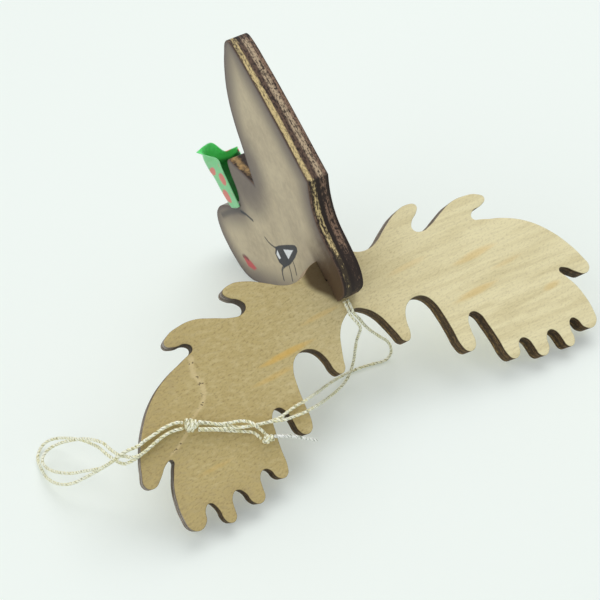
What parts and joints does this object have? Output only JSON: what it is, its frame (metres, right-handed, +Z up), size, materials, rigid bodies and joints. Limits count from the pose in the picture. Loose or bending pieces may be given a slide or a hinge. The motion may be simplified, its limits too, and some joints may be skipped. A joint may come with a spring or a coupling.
{
  "type": "wooden moose ornament",
  "caption": "Flat-cut plywood moose head halved across its antler board, with a painted face, a folded printed ribbon at the throat and a knotted gold thread loop for hanging it.",
  "frame": {"origin": "on the table, under the middle of the two boards' box, as the ornament lies on its front tines and its muzzle", "axes": "+X across the antler span towards the palm without thread on it, +Y from the tines towards the neck, +Z up"},
  "size_m": [0.1045, 0.0706, 0.0602],
  "materials": {
    "antler_plywood": "bare pale plywood, cut edges burnt brown",
    "painted_plywood": "matt grey-beige paint airbrushed darker at the rim, cut edges burnt brown",
    "printed_ribbon": "green printed cloth with coral dots",
    "gold_thread": "twisted gold metallic thread"
  },
  "bodies": {
    "root": {"antlers": "antler_plywood", "head": "painted_plywood", "ribbon": "printed_ribbon", "thread_strand_a": "gold_thread", "thread_strand_b": "gold_thread", "thread_end_upper": "gold_thread", "thread_end_lower": "gold_thread", "thread_tail_long": "gold_thread", "thread_tail_short": "gold_thread", "loop_outer": "gold_thread", "loop_inner": "gold_thread", "overhand_knot": "gold_thread", "end_knot": "gold_thread"}
  },
  "joints": []
}
